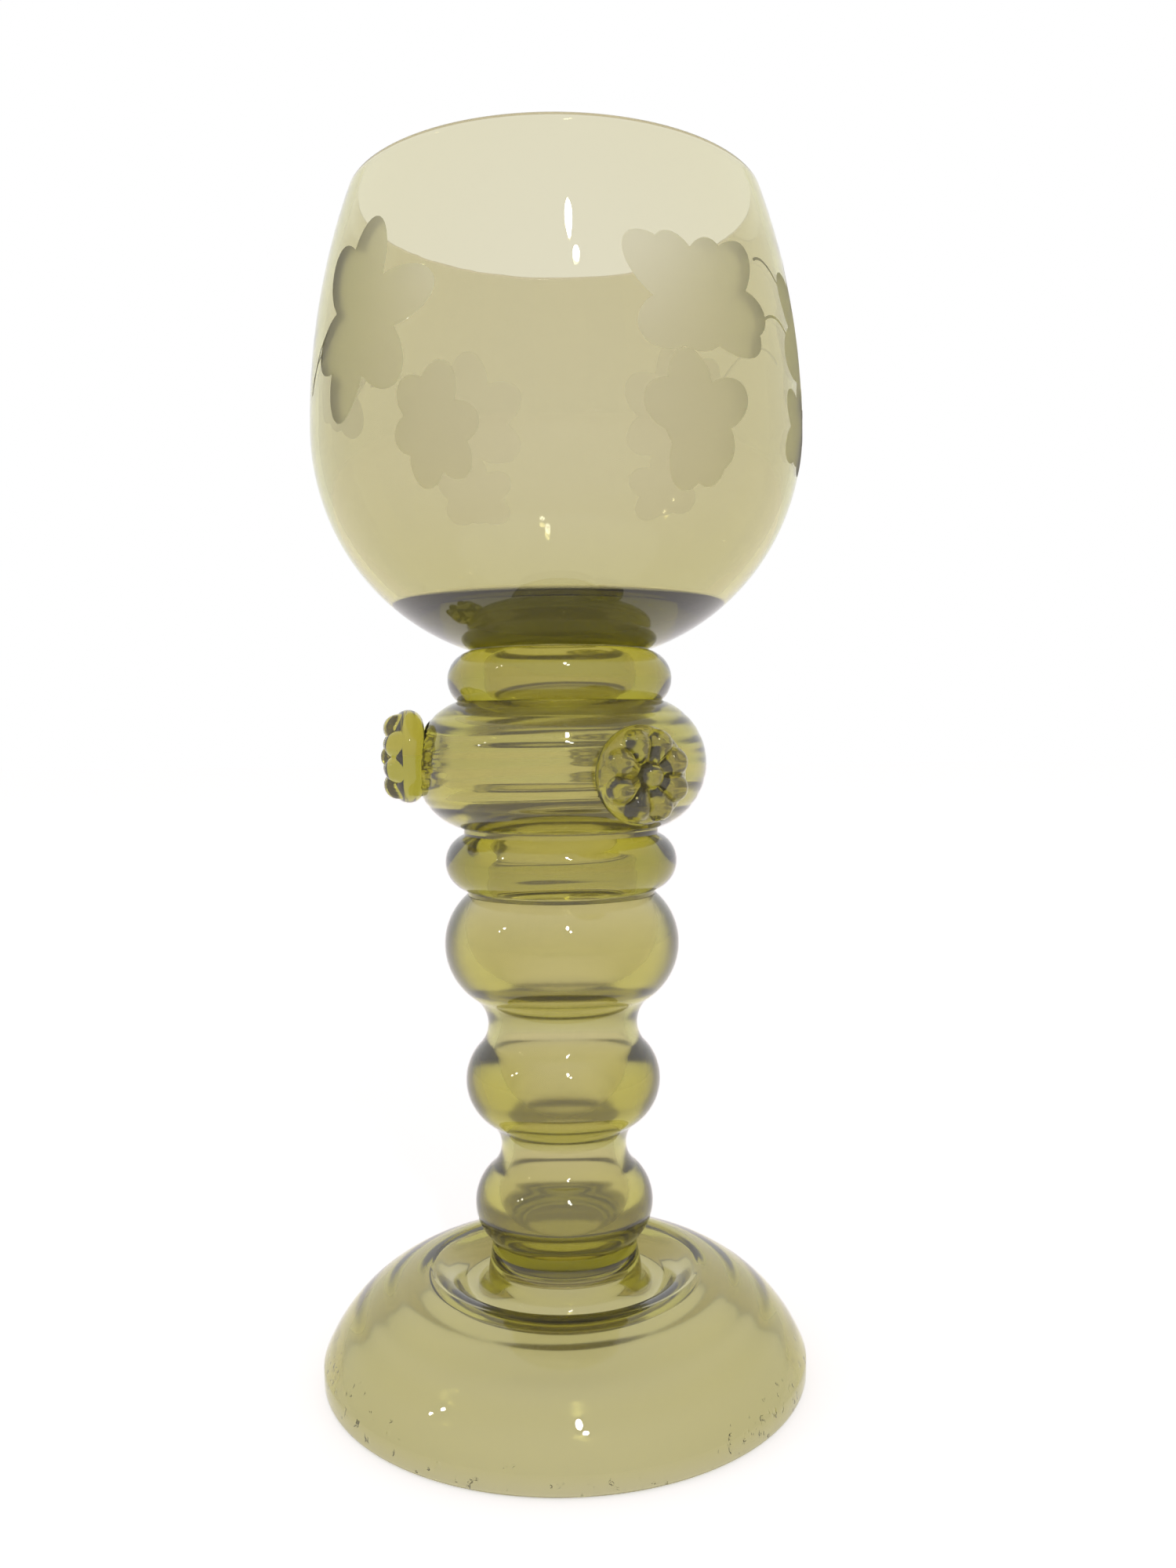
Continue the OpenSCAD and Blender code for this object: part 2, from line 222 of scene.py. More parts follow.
# %% Waists
def waist_bend(knop, waist):
    """Radius of the hollow round of a waist (radius, height) that runs smoothly into a knop."""
    centre = knop_centre(knop)
    aside, up = waist[0] - centre[0], waist[1] - centre[1]
    return (aside * aside + up * up - knop[2] ** 2) / (2 * (knop[2] - aside))


def waist_turn(knop, waist):
    """Direction from a knop's centre to the centre of the waist's round."""
    centre = knop_centre(knop)
    return math.degrees(math.atan2(waist[1] - centre[1], waist[0] + waist_bend(knop, waist) - centre[0]))


def half_waist(knop, waist):
    """Half of a waist, from its narrowest place to the knop."""
    bend = waist_bend(knop, waist)
    return arc((waist[0] + bend, waist[1]), bend, 180, waist_turn(knop, waist) + 180)


def knop_run(run, start, end):
    """Three knops and the two waists between them, from the bottom up."""
    bottom, lower, middle, upper, top = run
    return (arc(knop_centre(bottom), bottom[2], start, waist_turn(bottom, lower))
            + half_waist(bottom, lower)[::-1][1:] + half_waist(middle, lower)[1:]
            + arc(knop_centre(middle), middle[2], waist_turn(middle, lower), waist_turn(middle, upper))[1:]
            + half_waist(middle, upper)[::-1][1:] + half_waist(top, upper)[1:]
            + arc(knop_centre(top), top[2], waist_turn(top, upper), end)[1:])


# %% Baluster
OUTSIDE = ((15.5, 7.9, 7.9), (10.9, 18.0), (16.9, 29.4, 8.6), (13.0, 39.2), (widest("baluster"), 53.2, 11.2))
INSIDE = ((11.8, 8.8, 5.4), (8.4, 19.75), (12.6, 32.0, 9.0), (10.5, 41.4), (17.2, 55.0, 9.5))
baluster_h = BALUSTER_JOINT - FOOT_JOINT


def baluster_outline():
    """The knopped outside, the opening at the top, and the hollow down to its flat floor."""
    bottom, top, hollow_top = OUTSIDE[0], OUTSIDE[-1], INSIDE[-1]
    start = joint_angle(knop_centre(bottom), bottom[2], FOOT_JOINT_R, bottom[1])
    end = joint_angle(knop_centre(top), top[2], BALUSTER_JOINT_R, baluster_h - top[1])
    neck = joint_angle(knop_centre(hollow_top), hollow_top[2], BORE_R, baluster_h - top[1] - JOINT_WALL)
    hollow = knop_run(INSIDE, -90, neck)
    ring = baluster_h - SEAM_GAP
    return ([(FOOT_JOINT_R, SEAM_GAP)] + knop_run(OUTSIDE, -start, end)
            + [(BALUSTER_JOINT_R, ring), (BORE_R, ring), (BORE_R, hollow[-1][1])]
            + hollow[::-1] + [(0, hollow[0][1]), (0, SEAM_GAP)])


print("baluster outline:", len(baluster_outline()), "points, height", round(baluster_h, 2))

# %% [markdown]
# The foot is a dome, hollow underneath, that rises to a crest and dips to a valley round the stem. It
# stands on a narrow ground ring. A half sphere would miss the crest and the valley, so four arcs are
# set tangent to each other, and the hollow follows them at the wall's thickness.

# %% Foot
FOOT_R, EDGE_H, EDGE_LEAN, DOME_BEND, EDGE_ROUND = widest("foot"), 3.6, 23, 24.8, 1.2
CREST_TURN, CREST_BEND, VALLEY_IN, VALLEY_BEND = 76, 7.0, 7.5, 2.2
FOOT_WALL, FOOT_FLOOR, KICK_ROUND = 3.2, 2.4, 2.0


def foot_outline():
    """Dome, crest and valley down the outside, and the hollow back up, turned to run the right way."""
    dome = (FOOT_R - DOME_BEND * toward(EDGE_LEAN)[0], EDGE_H - DOME_BEND * toward(EDGE_LEAN)[1])
    step = DOME_BEND - CREST_BEND
    crest = (dome[0] + step * toward(CREST_TURN)[0], dome[1] + step * toward(CREST_TURN)[1])
    valley_up = math.sqrt((CREST_BEND + VALLEY_BEND) ** 2 - VALLEY_IN ** 2)
    valley = (crest[0] - VALLEY_IN, crest[1] + valley_up)
    dip = math.degrees(math.atan2(valley_up, -VALLEY_IN))
    neck = (FOOT_JOINT_R - valley[0], FOOT_JOINT - valley[1])
    neck_turn = math.degrees(math.atan2(neck[1], neck[0]) + math.acos(VALLEY_BEND / math.hypot(*neck)))
    outside = (arc(valley, VALLEY_BEND, neck_turn, dip + 180)
               + arc(crest, CREST_BEND, dip, CREST_TURN)[1:]
               + arc(dome, DOME_BEND, CREST_TURN, EDGE_LEAN)[1:]
               + arc((FOOT_R - EDGE_ROUND, EDGE_ROUND), EDGE_ROUND, 0, -90))
    ceiling = FOOT_JOINT - FOOT_FLOOR
    reach = VALLEY_BEND + FOOT_WALL + KICK_ROUND
    kick_turn = math.degrees(math.asin((valley[1] - ceiling + KICK_ROUND) / reach))
    kick = (valley[0] - reach * toward(kick_turn)[0], ceiling - KICK_ROUND)
    hollow_bend = DOME_BEND - FOOT_WALL
    hollow = (arc(dome, hollow_bend, math.degrees(math.asin(-dome[1] / hollow_bend)), CREST_TURN)
              + arc(crest, CREST_BEND - FOOT_WALL, CREST_TURN, dip)[1:]
              + arc(valley, VALLEY_BEND + FOOT_WALL, dip + 180, 180 + kick_turn)[1:]
              + arc(kick, KICK_ROUND, kick_turn, 90)[1:])
    top = FOOT_JOINT - SEAM_GAP
    return ([(0, top), (FOOT_JOINT_R, top)] + outside + hollow + [(0, ceiling)])[::-1]


print("foot outline:", len(foot_outline()), "points, across", round(2 * FOOT_R, 2))

# %% [markdown]
# Turning an outline round the axis is what a lathe or the Screw modifier does. It is done in mesh code
# here for three reasons: the rings of points can be pushed in and out by tool marks, a band of the bowl
# can be left open for the engraving, and each face can carry a mark for the material to read. The mark
# seam says that the face is fused to a neighbour, and matt says how rough it is.

# %% Rings of points
SIDES = 192
ON_AXIS = 1e-6


def outline_normals(outline):
    """Outward direction at each point of a closed outline."""
    found = []
    for i in range(len(outline)):
        r0, z0 = outline[i - 1]
        r1, z1 = outline[(i + 1) % len(outline)]
        length = math.hypot(r1 - r0, z1 - z0)
        found.append(((z1 - z0) / length, (r0 - r1) / length))
    return found


def at_turn(r, z, turn):
    """Point in metres at a radius, a height and a turn round the axis."""
    return r * math.cos(turn) * MM, r * math.sin(turn) * MM, z * MM


def spin_rings(outline, wave, band):
    """A body with a ring of points for each point of the outline. Rows inside the band are left out."""
    body = {"verts": [], "normals": [], "faces": [], "seam": [], "matt": [], "rings": {}}
    for i, ((r, z), (nr, nz)) in enumerate(zip(outline, outline_normals(outline))):
        if band and band[0] < i < band[1]:
            continue
        first = len(body["verts"])
        if r < ON_AXIS:
            body["rings"][i] = [first] * SIDES
            body["verts"].append((0, 0, z * MM))
            body["normals"].append((0, 0, math.copysign(1, nz)))
            continue
        body["rings"][i] = list(range(first, first + SIDES))
        for k in range(SIDES):
            turn = 2 * math.pi * k / SIDES
            out = wave(r, z, turn, nr) if wave else 0.0
            body["verts"].append(at_turn(r + out * nr, z + out * nz, turn))
            body["normals"].append((nr * math.cos(turn), nr * math.sin(turn), nz))
    return body


print("points in a ring:", SIDES)

# %% Faces between the rings
TOUCH = 0.01
NEAR_SEAM = 3 * SEAM_GAP
FACES_INWARD = -0.01


def on_joint(a, b, seams):
    """Whether the stretch of outline from a to b lies on a fused joint (height, inner and outer radius)."""
    inner, outer = min(a[0], b[0]) + TOUCH, max(a[0], b[0]) - TOUCH
    return any(max(abs(a[1] - z), abs(b[1] - z)) < NEAR_SEAM and least <= inner and outer <= most
               for z, least, most in seams)


def spin_faces(body, outline, seams, band, soft):
    """Join the rings with faces. Faces that look toward the axis are given the softness of the hollow."""
    normals = outline_normals(outline)
    for i, spot in enumerate(outline):
        j = (i + 1) % len(outline)
        if max(spot[0], outline[j][0]) < ON_AXIS or (band and band[0] <= i < band[1]):
            continue
        fused = on_joint(spot, outline[j], seams)
        near, far = body["rings"][i], body["rings"][j]
        for k in range(SIDES):
            m = (k + 1) % SIDES
            body["faces"].append(list(dict.fromkeys((near[k], near[m], far[m], far[k]))))
            body["seam"].append(1.0 if fused else 0.0)
            body["matt"].append(soft if normals[i][0] < FACES_INWARD else 0.0)


print("a face counts as hollow when it leans in by more than", -FACES_INWARD)

# %% Mesh objects
SHARP_EDGE = 35


def make_piece(name, body, own_normals=False, sharp=SHARP_EDGE):
    """Mesh object from a body's lists, with its two finish attributes."""
    mesh = bpy.data.meshes.new(name)
    mesh.from_pydata(body["verts"], [], body["faces"])
    mesh.shade_smooth()
    if own_normals:
        mesh.normals_split_custom_set_from_vertices(body["normals"])
    else:
        mesh.set_sharp_from_angle(angle=math.radians(sharp))
    for finish in ("seam", "matt"):
        mesh.attributes.new(finish, "FLOAT", "FACE").data.foreach_set("value", body[finish])
    piece = bpy.data.objects.new(name, mesh)
    bpy.context.scene.collection.objects.link(piece)
    print(name, len(mesh.vertices), "vertices,", len(mesh.polygons), "faces")
    return piece


# %% [markdown]
# Hand-worked glass keeps the marks of the tools: narrow grooves where the jacks pressed the turning
# knop, and uneven waves inside a hollow that no tool can reach. A bump map could draw them, but light
# passes through both sides of the wall, so real waves in the mesh bend it far more truly. The waves
# are less than two tenths of a millimetre deep, and fade out at the joints so that the pieces meet.

# %% Tool marks
GROOVE_DEEP, GROOVE_WIDE, GROOVE_TILT, GROOVE_SHIFT = 0.08, 0.4, 0.3, 2.1
KNOP_GROOVES = (4.5, 6.1, 8.9, 16.5, 19.6)
GROOVED_FROM_R = 18
RIPPLE_FADE = 1.5
# Depth of the waves in each hollow and their distance, in millimetres.
KNOP_RIPPLE, LOWER_RIPPLE, UPPER_RIPPLE = (0.09, 2.3), (0.12, 2.2), (0.06, 3.1)
# Size and shift of the lean of a wave, once and twice round the piece.
LEAN_ONCE, LEAN_TWICE = (0.9, -0.6), (0.5, 1.0)
SMALL_WAVE, SMALL_PITCH, SMALL_LEAN = 0.6, 3.7, 1.7
HOLE_FACES_IN = -0.5


def grooves(z, turn, heights):
    """Narrow grooves round a piece at some heights, each a little tilted."""
    out = 0.0
    for n, mid in enumerate(heights):
        off = z - mid - GROOVE_TILT * math.sin(turn + GROOVE_SHIFT * n)
        out -= GROOVE_DEEP * math.exp(-(off / GROOVE_WIDE) ** 2)
    return out


def ripple(z, turn, low_z, high_z, deep, apart):
    """Uneven waves up a hollow, which fade out at both joints."""
    fade = max(0.0, min(1.0, (z - low_z) / RIPPLE_FADE, (high_z - z) / RIPPLE_FADE))
    lean = LEAN_ONCE[0] * math.sin(turn + LEAN_ONCE[1])
    lean = lean + LEAN_TWICE[0] * math.sin(2 * turn + LEAN_TWICE[1])
    large = math.sin(2 * math.pi * z / apart + lean)
    small = SMALL_WAVE * math.sin(SMALL_PITCH * z / apart - SMALL_LEAN * lean)
    return fade * deep * (large + small)


def knop_wave(r, z, turn, nr):
    """Waves in the knop's hollow and grooves on its outside."""
    if nr < 0:
        return ripple(z, turn, LOWER_JOINT, UPPER_JOINT, *KNOP_RIPPLE)
    return grooves(z - LOWER_JOINT, turn, KNOP_GROOVES) if r > GROOVED_FROM_R else 0.0


def lower_collar_wave(r, z, turn, nr):
    """Waves in the hole of the lower collar."""
    return ripple(z, turn, BALUSTER_JOINT, LOWER_JOINT, *LOWER_RIPPLE) if nr < HOLE_FACES_IN else 0.0


def upper_collar_wave(r, z, turn, nr):
    """Waves in the hole of the upper collar."""
    return ripple(z, turn, UPPER_JOINT, BOWL_JOINT, *UPPER_RIPPLE) if nr < HOLE_FACES_IN else 0.0


print("grooves on the knop:", len(KNOP_GROOVES), "of", GROOVE_DEEP, "mm")

# %% [markdown]
# The foot was spun open while it was soft, which leaves faint rings round the stem, most of all in the
# hollow underneath. They give the dome its soft dark streaks at both sides. They are a sine wave of the
# distance from the axis, set a little off centre, as a hand-spun foot is.

# %% Rings in the foot
RING_APART, RING_SHIFT, RING_TURN = 4.8, 0.5, 0.7
RINGS_FROM_R, RINGS_TO_R = 19, 38.5
RING_OUTSIDE, RING_HOLLOW = 0.01, 0.12
RING_FADE_IN, RING_FADE_OUT = 4, 3
LEVEL_FACE = 0.05


def foot_wave(r, z, turn, nr):
    """Rings in the dome, which fade out at the crest and at the edge."""
    if abs(nr) < LEVEL_FACE or not RINGS_FROM_R < r < RINGS_TO_R:
        return 0.0
    fade = min(1.0, (r - RINGS_FROM_R) / RING_FADE_IN, (RINGS_TO_R - r) / RING_FADE_OUT)
    deep = RING_OUTSIDE if nr > 0 else RING_HOLLOW
    off_centre = r + RING_SHIFT * math.cos(turn - RING_TURN)
    return fade * deep * math.sin(2 * math.pi * off_centre / RING_APART)


WAVES = {"prunted_knop": knop_wave, "lower_collar": lower_collar_wave,
         "upper_collar": upper_collar_wave, "foot": foot_wave}
print("pieces with waves:", sorted(WAVES))

# %% [markdown]
# The colour of the glass isn't on its surface. Iron in the melt takes blue, and a little red and green,
# with every millimetre that light goes through, so thin walls are pale straw and thick ones deep olive.
# A tinted Base Color would give both the same green. The tint is a Volume Absorption instead, worked
# out from the colour that is left of white after one centimetre of glass.

# %% Node helpers
def linear(hex_colour):
    """sRGB hex to linear RGBA."""
    parts = [int(hex_colour[i:i + 2], 16) / 255 for i in (1, 3, 5)]
    return tuple(c / 12.92 if c <= 0.04045 else ((c + 0.055) / 1.055) ** 2.4 for c in parts) + (1.0,)


def add(tree, kind, inputs=None, **settings):
    """Add a node, give it its settings, and set or link its inputs."""
    node = tree.nodes.new(kind)
    for key, value in settings.items():
        setattr(node, key, value)
    for key, value in (inputs or {}).items():
        if isinstance(value, bpy.types.NodeSocket):
            tree.links.new(value, node.inputs[key])
        else:
            node.inputs[key].default_value = value
    return node


print("mid grey in linear light:", round(linear("#808080")[0], 3))

# %% [markdown]
# A glass that stands on stone tables for years is scuffed near its edge. The wear could be painted on,
# but it is really tiny chips: rough pits that send light elsewhere. A noise of about the size of a chip
# is cut off high, so that only its peaks are left, and it fades out a few millimetres over the table.

# %% Wear
WORN_H, CHIP_SIZE, CHIP_FROM, CHIP_TO = 6.5, 1.6, 0.645, 0.71
CHIP_ROUGH, CHIP_DEEP = 0.4, 0.18


def scuffed(tree, where, rough, skin):
    """Roughness and normal of a surface with chips that gather toward the table."""
    spot = add(tree, "ShaderNodeSeparateXYZ", {"Vector": where})
    near = add(tree, "ShaderNodeMapRange", {
        "Value": spot.outputs["Z"], "From Min": WORN_H * MM, "From Max": 0.0})
    grit = add(tree, "ShaderNodeTexNoise", {"Vector": where, "Scale": 1 / (CHIP_SIZE * MM), "Detail": 3.0})
    peaks = add(tree, "ShaderNodeMapRange", {
        "Value": grit.outputs["Fac"], "From Min": CHIP_FROM, "From Max": CHIP_TO})
    chips = add(tree, "ShaderNodeMath", {
        0: near.outputs["Result"], 1: peaks.outputs["Result"]}, operation="MULTIPLY")
    ground = add(tree, "ShaderNodeMath", {
        0: chips.outputs[0], 1: CHIP_ROUGH, 2: rough}, operation="MULTIPLY_ADD")
    pits = add(tree, "ShaderNodeBump", {
        "Height": chips.outputs[0], "Strength": 1.0, "Distance": -CHIP_DEEP * MM, "Normal": skin})
    return ground.outputs[0], pits.outputs["Normal"]


print("wear up to", WORN_H, "mm over the table")

# %% [markdown]
# Soda-lime and potash glass both bend light by about 1.51. The outside was melted smooth in the fire, so
# it is mirror-like; only the engraving is matt, and the hollows, which cooled against the air inside,
# are a little soft. Two fused pieces are one body of glass: where they touch, the IOR drops to almost 1,
# and the light runs straight through. Fine cords, streaks in the melt, lie level round the piece. The
# thin walls are greyer than the tint alone makes them. A grey base colour on the skin is painted shade in
# place of the greyer room that the glass would show: it takes some light at each wall, and none at a seam.
# A faint haze on the skin stands in for whatever causes that: it takes some light at each wall, and none
# at a seam.

# %% Glass
GLASS_IOR, FUSED_IOR = 1.51, 1.0003
MATT_ROUGHNESS = 0.6
CLEAR = 0.96
CORD_LONG, CORD_TALL, CORD_DEEP = 25, 5.5, 0.03
TINT_DEPTH = 10


def glass(name, left_of_white, painted_shade_grey, worn=False):
    """Glass that leaves a colour of white after the tint depth in millimetres, with a grey of painted shade
    on its skin.
    """
    material = bpy.data.materials.new(name)
    material.use_nodes = True
    tree = material.node_tree
    tree.nodes.clear()
    where = add(tree, "ShaderNodeTexCoord").outputs["Object"]
    seam = add(tree, "ShaderNodeAttribute", attribute_name="seam").outputs["Fac"]
    matt = add(tree, "ShaderNodeAttribute", attribute_name="matt").outputs["Fac"]
    ior = add(tree, "ShaderNodeMapRange", {"Value": seam, "To Min": GLASS_IOR, "To Max": FUSED_IOR})
    free = add(tree, "ShaderNodeMath", {0: 1.0, 1: seam}, operation="SUBTRACT")
    level = add(tree, "ShaderNodeMapping", {
        "Vector": where, "Scale": [1 / (size * MM) for size in (CORD_LONG, CORD_LONG, CORD_TALL)]})
    cords = add(tree, "ShaderNodeTexNoise", {"Vector": level.outputs["Vector"], "Scale": 1.0, "Detail": 2.0})
    waves = add(tree, "ShaderNodeBump", {
        "Height": cords.outputs["Fac"], "Strength": free.outputs[0], "Distance": CORD_DEEP * MM})
    skin = waves.outputs["Normal"]
    rough = add(tree, "ShaderNodeMath", {0: matt, 1: MATT_ROUGHNESS}, operation="MULTIPLY").outputs[0]
    if worn:
        rough, skin = scuffed(tree, where, rough, skin)
    # The grey is painted shade: as base colour it darkens the light at every wall; a seam gets white.
    painted_shade_skin = add(tree, "ShaderNodeMix", {
        "Factor": seam, 6: linear(painted_shade_grey), 7: linear("#FFFFFF")}, data_type="RGBA")
    shader = add(tree, "ShaderNodeBsdfPrincipled", {
        "Base Color": painted_shade_skin.outputs[2], "Roughness": rough, "Transmission Weight": CLEAR,
        "IOR": GLASS_IOR, "Normal": skin})
    # The plain IOR above stays on the socket, for a program that reads the value and not the link.
    tree.links.new(ior.outputs["Result"], shader.inputs["IOR"])
    taken = [-math.log(share) / TINT_DEPTH for share in linear(left_of_white)[:3]]
    tint = add(tree, "ShaderNodeVolumeAbsorption", {
        "Color": [1 - t / max(taken) for t in taken] + [1], "Density": max(taken) / MM})
    add(tree, "ShaderNodeOutputMaterial", {
        "Surface": shader.outputs["BSDF"], "Volume": tint.outputs["Volume"]})
    print(name, "takes per mm:", [round(t, 3) for t in taken])
    return material


# %% The three glasses
# Blown thin and fire-polished: pale straw, with sharp small highlights.
bowl_glass = glass("blown_iron_green_glass", "#CCCB55", "#E9E4E2")
# Blown into a mould with thick walls: deep olive, with soft bands from its hollow.
stem_glass = glass("mould_blown_iron_green_glass", "#CCC859", "#EAE6E5")
# Spun open and worn at its edge: a shade paler, with dark specks near the table.
# Its grey of painted shade is darker than that of the bowl and the stem.
foot_glass = glass("worn_spun_iron_green_glass", "#CCC955", "#D6D0CC", worn=True)

# %% [markdown]
# Vine leaves are cut into the bowl with a small wheel, which leaves shallow matt ovals. A leaf is a ring
# of such cuts, one for each lobe. A mask in the material would be quicker, but its edge would be soft
# and flat. The cuts are drawn as outlines on the unrolled side of the bowl, and the mesh follows them.

# %% Wheel cuts
ROUND_R = 40.0
ROUND = 2 * math.pi * ROUND_R
OVAL_POINTS, TENDRIL_STEPS, TENDRIL_HALF = 28, 12, 0.22
LEAF_MIDDLE = 1.5


def oval(x, h, long, wide, tilt):
    """Outline of one wheel cut in millimetres round the bowl and up it."""
    ca, sa = toward(tilt)
    points = []
    for n in range(OVAL_POINTS):
        c, s = toward(360 * n / OVAL_POINTS)
        points.append((x + ca * long * c - sa * wide * s, h + sa * long * c + ca * wide * s))
    return points


def vine_leaf(x, h, wide, lobes):
    """One cut for the middle of a leaf and one for every lobe, given by its direction and length."""
    cuts = [oval(x, h, LEAF_MIDDLE * wide, LEAF_MIDDLE * wide, 0)]
    for tilt, length in lobes:
        c, s = toward(tilt)
        cuts.append(oval(x + 0.5 * length * c, h + 0.5 * length * s, 0.5 * length, wide, tilt))
    return cuts


def tendril(start, mid, end):
    """A thin curved line from start to end, drawn toward mid."""
    left, right = [], []
    for n in range(TENDRIL_STEPS + 1):
        t = n / TENDRIL_STEPS
        p = [(1 - t) ** 2 * start[i] + 2 * t * (1 - t) * mid[i] + t * t * end[i] for i in (0, 1)]
        d = [2 * (1 - t) * (mid[i] - start[i]) + 2 * t * (end[i] - mid[i]) for i in (0, 1)]
        aside = [TENDRIL_HALF * d[1] / math.hypot(*d), -TENDRIL_HALF * d[0] / math.hypot(*d)]
        left.append((p[0] - aside[0], p[1] - aside[1]))
        right.append((p[0] + aside[0], p[1] + aside[1]))
    return right + left[::-1]


print("round the bowl:", round(ROUND, 1), "mm")

# %% Where the leaves are
BIG = ((90, 15), (140, 14), (40, 14), (200, 12), (-20, 12))
SMALL = ((85, 10), (140, 9), (30, 9), (205, 7.5), (-35, 7.5))
# Place round the bowl from its front, height over the bowl's joint, half width of a lobe, lobes.
LEAVES = (
    (-31, 48, 4.4, ((86, 15), (127, 15), (202, 13), (249, 16), (305, 14), (10, 14.5))),
    (-17, 30, 3.0, ((80, 9), (125, 8.5), (195, 7), (250, 9), (300, 8.5), (0, 7))),
    (21.5, 46.5, 4.0, ((137, 14.5), (115, 12), (69, 12), (45, 16.5), (7, 15), (-12, 13.5), (205, 10))),
    (21.5, 31, 3.6, ((29, 10.5), (-40, 9), (-62, 10), (265, 10), (160, 9), (105, 10))),
    (54, 48, 4.4, BIG), (50, 33, 3.0, SMALL), (-69, 46, 4.6, BIG), (104, 32, 3.2, SMALL),
    (101, 47, 4.6, BIG), (-108, 31, 3.2, SMALL), (-106, 46, 4.6, BIG))
TENDRILS = (
    ((36, 48), (40, 51), (45, 47)), ((35, 57), (38, 59), (43, 55)), ((-40, 48), (-44, 47), (-48, 40)),
    ((-43, 45), (-46, 44), (-49, 40)), ((68, 50), (78, 60), (90, 52)), ((-82, 50), (-88, 58), (-94, 50)))
cuts = [cut for leaf in LEAVES for cut in vine_leaf(*leaf)] + [tendril(*line) for line in TENDRILS]
print("leaves:", len(LEAVES), "tendrils:", len(TENDRILS), "wheel cuts:", len(cuts))

# %% [markdown]
# To cut the leaves into the mesh, the side of the bowl is unrolled flat. A constrained triangulation
# joins its grid of points and the outlines of the cuts into one net, and says which triangles lie in a
# cut. The net is then rolled up again. A Boolean with thin cutters would be slow here and leave slivers.

# %% Unrolled bowl
BAND_LOW, BAND_HIGH = 16, 66


def bowl_side(z):
    """Outer radius of the bowl at a height, and the direction that its side faces there."""
    h = z - BOWL_JOINT - BELLY_Z
    bend = low_bend if h < 0 else high_bend
    return BELLY_R - bend + math.sqrt(bend * bend - h * h), math.sqrt(1 - (h / bend) ** 2), h / bend


def bowl_band(outline):
    """First and last point of the bowl's outside between the band's two heights."""
    side = [i for i, (r, z) in enumerate(outline)
            if abs(r - bowl_side(z)[0]) < TOUCH and BAND_LOW < z - BOWL_JOINT < BAND_HIGH]
    return side[0], side[-1]


def band_points(outline, band):
    """Every second row of the band as flat points, with the row and column of each."""
    points, keys = [], []
    for i in sorted({*range(band[0], band[1], 2), band[1]}):
        for j in range(SIDES + 1):
            points.append(Vector((ROUND * (j / SIDES - 0.5), outline[i][1])))
            keys.append((i, j % SIDES))
    return points, keys


def rolled_up(body, spot):
    """Put a flat point on the side of the bowl, and give its number."""
    turn = spot.x / ROUND_R - math.pi / 2
    r, nr, nz = bowl_side(spot.y)
    body["verts"].append(at_turn(r, spot.y, turn))
    body["normals"].append((nr * math.cos(turn), nr * math.sin(turn), nz))
    return len(body["verts"]) - 1


print("engraved band:", BAND_LOW, "to", BAND_HIGH, "mm over the joint")

# %% Engraving
CUT_DEEP = 0.12
WELD = 1e-4


def net_of(outline, band):
    """Triangulate the band with the cuts. Gives points, row and column of each, triangles and their cuts."""
    points, keys = band_points(outline, band)
    shapes = []
    for cut in cuts:
        shapes.append(list(range(len(points), len(points) + len(cut))))
        points += [Vector((x, h + BOWL_JOINT)) for x, h in cut]
    spots, _, triangles, origins, _, in_cuts = delaunay_2d_cdt(points, [], shapes, 0, WELD, True)
    found = [next((keys[o] for o in origin if o < len(keys)), None) for origin in origins]
    return spots, found, triangles, in_cuts


def engrave(body, outline, band):
    """Fill the open band with the net, and sink and mark the triangles that lie in a cut."""
    spots, found, triangles, in_cuts = net_of(outline, band)
    known, place = {}, []
    for spot, key in zip(spots, found):
        number = known.get(key)
        if number is None and key and key[0] in band:
            number = body["rings"][key[0]][(key[1] + SIDES // 4) % SIDES]
        if number is None:
            number = rolled_up(body, spot)
        if key:
            known[key] = number
        place.append(number)
    clear, sunk = set(), set()
    for triangle, in_cut in zip(triangles, in_cuts):
        corners = [place[c] for c in triangle]
        body["faces"].append(corners)
        body["seam"].append(0.0)
        body["matt"].append(1.0 if in_cut else 0.0)
        (sunk if in_cut else clear).update(corners)
    for v in sunk - clear:
        body["verts"][v] = tuple(p - CUT_DEEP * MM * n for p, n in zip(body["verts"][v], body["normals"][v]))
    print("engraved faces:", sum(1 for in_cut in in_cuts if in_cut), "of", len(triangles))


# %% [markdown]
# A prunt is a drop of hot glass set on the knop and pressed with a stamp. It melts into the knop, so no
# surface is left under it. The faces of the knop that a prunt covers could be cut away, but the mesh
# would then be open. They are marked as a seam instead, and light passes them as if they weren't there.

# %% Prunt seats
PRUNT_R, PRUNT_T, PRUNT_SINK, PETALS = 7.9, 5.0, 1.7, 8
# Turn round the axis in degrees, and rise over the middle of the knop in millimetres.
PRUNTS = {"prunt_left": (190, 1.5), "prunt_front": (300, -1.4), "prunt_rear": (70, 0.5)}
SEAT_ACROSS, SEAT_UP, SEAT_FROM_R = 7.0, 5.95, 22.5
KNOP_MID = LOWER_JOINT + MAIN_KNOP[1]


def fuse_seats(body):
    """Mark the faces of the knop that the prunts cover."""
    for n, face in enumerate(body["faces"]):
        x, y, z = (sum(body["verts"][v][i] for v in face) / len(face) / MM for i in range(3))
        for turn, rise in PRUNTS.values():
            c, s = toward(turn)
            across, up = (y * c - x * s) / SEAT_ACROSS, (z - KNOP_MID - rise) / SEAT_UP
            if x * c + y * s > SEAT_FROM_R and across ** 2 + up ** 2 < 1:
                body["seam"][n] = 1.0


print("prunts at", PRUNTS)

# %% [markdown]
# Now the six spun pieces are made. Each takes its outline, lifted to its joint, the joints on which it
# is fused, how soft its hollow looks, its glass and its slot. Each stands for the CAD node of its name.

# %% What is spun
def lift(outline, z):
    """Move an outline up to its joint."""
    return [(r, h + z) for r, h in outline]


